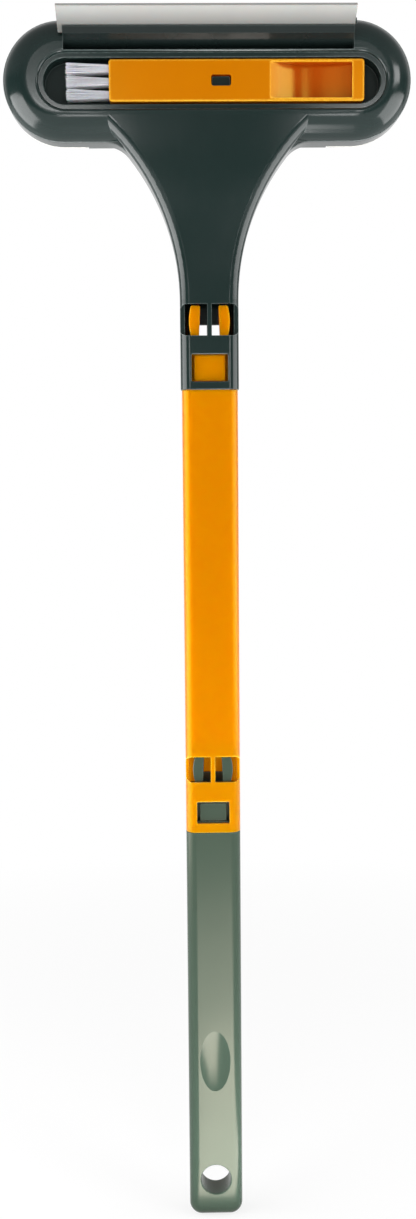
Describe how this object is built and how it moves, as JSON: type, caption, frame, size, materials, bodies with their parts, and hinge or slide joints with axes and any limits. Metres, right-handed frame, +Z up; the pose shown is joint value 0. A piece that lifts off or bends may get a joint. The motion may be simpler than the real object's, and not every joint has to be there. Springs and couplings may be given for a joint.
{
  "type": "window cleaning squeegee",
  "caption": "Two-sided window and screen cleaner: rubber squeegee blade, pile pad and stowed gap brush on a stadium head, with a sectional snap-together pole and hanging hole.",
  "frame": {"origin": "centre of the hanging hole in the handle, half way through the handle's thickness", "axes": "+Z up the pole from the hanging hole to the head, -Y out of the squeegee and brush face, +X to the right as that face is looked at"},
  "size_m": [0.2484, 0.0527, 0.7657],
  "materials": {
    "green_plastic": "satin moulded polypropylene, very dark grey-green",
    "orange_plastic": "satin moulded polypropylene, orange",
    "blade_rubber": "smooth pale grey thermoplastic rubber",
    "pad_foam": "white open-cell foam",
    "pad_pile": "white microfibre pile",
    "hook_tape": "black nylon hook tape",
    "nylon": "translucent white nylon fibre",
    "staple_brass": "drawn wire",
    "screw_steel": "zinc plated"
  },
  "bodies": {
    "handle": {"handle_tube": "green_plastic", "handle_plug": "green_plastic"},
    "handle_prong_left": {"handle_prong_left": "green_plastic"},
    "handle_prong_right": {"handle_prong_right": "green_plastic"},
    "handle_button": {"handle_button": "green_plastic"},
    "middle": {"middle_tube": "orange_plastic", "middle_plug": "orange_plastic"},
    "middle_prong_left": {"middle_prong_left": "orange_plastic"},
    "middle_prong_right": {"middle_prong_right": "orange_plastic"},
    "middle_button": {"middle_button": "orange_plastic"},
    "head": {"head_shell": "green_plastic", "head_back_plate": "green_plastic", "back_plate_screws": "screw_steel", "hook_strips": "hook_tape", "blade_holder": "green_plastic", "squeegee_blade": "blade_rubber"},
    "pad": {"pad_sponge": "pad_foam", "pad_cloth": "pad_pile"},
    "brush": {"brush_handle": "orange_plastic", "tuft_lower": "nylon", "tuft_middle": "nylon", "tuft_upper": "nylon", "tuft_staples": "staple_brass"}
  },
  "joints": [
    {"name": "lower_pull", "type": "slide", "parent": "handle", "child": "middle", "axis": [0, 0, 1], "range_m": [0, 0.06]},
    {"name": "upper_pull", "type": "slide", "parent": "middle", "child": "head", "axis": [0, 0, 1], "range_m": [0, 0.06]},
    {"name": "handle_prong_left_squeeze", "type": "hinge", "parent": "handle", "child": "handle_prong_left", "pos_m": [-0.0092, 0, 0.2655], "axis": [0, 1, 0], "range_deg": [0, 6], "stiffness_Nm_per_rad": 0.5},
    {"name": "handle_prong_right_squeeze", "type": "hinge", "parent": "handle", "child": "handle_prong_right", "pos_m": [0.0092, 0, 0.2655], "axis": [0, -1, 0], "range_deg": [0, 6], "stiffness_Nm_per_rad": 0.5},
    {"name": "handle_button_press", "type": "slide", "parent": "handle", "child": "handle_button", "axis": [0, 1, 0], "range_m": [0, 0.0022], "stiffness_N_per_m": 800},
    {"name": "middle_prong_left_squeeze", "type": "hinge", "parent": "middle", "child": "middle_prong_left", "pos_m": [-0.0092, 0, 0.5475], "axis": [0, 1, 0], "range_deg": [0, 6], "stiffness_Nm_per_rad": 0.5},
    {"name": "middle_prong_right_squeeze", "type": "hinge", "parent": "middle", "child": "middle_prong_right", "pos_m": [0.0092, 0, 0.5475], "axis": [0, -1, 0], "range_deg": [0, 6], "stiffness_Nm_per_rad": 0.5},
    {"name": "middle_button_press", "type": "slide", "parent": "middle", "child": "middle_button", "axis": [0, 1, 0], "range_m": [0, 0.0022], "stiffness_N_per_m": 800},
    {"name": "brush_lift", "type": "slide", "parent": "head", "child": "brush", "axis": [0, -1, 0], "range_m": [0, 0.05]},
    {"name": "pad_peel", "type": "slide", "parent": "head", "child": "pad", "axis": [0, 1, 0], "range_m": [0, 0.03]}
  ],
  "couplings": [
    {"joint": "handle_prong_right_squeeze", "follows": "handle_prong_left_squeeze", "ratio": 1},
    {"joint": "middle_prong_right_squeeze", "follows": "middle_prong_left_squeeze", "ratio": 1}
  ]
}
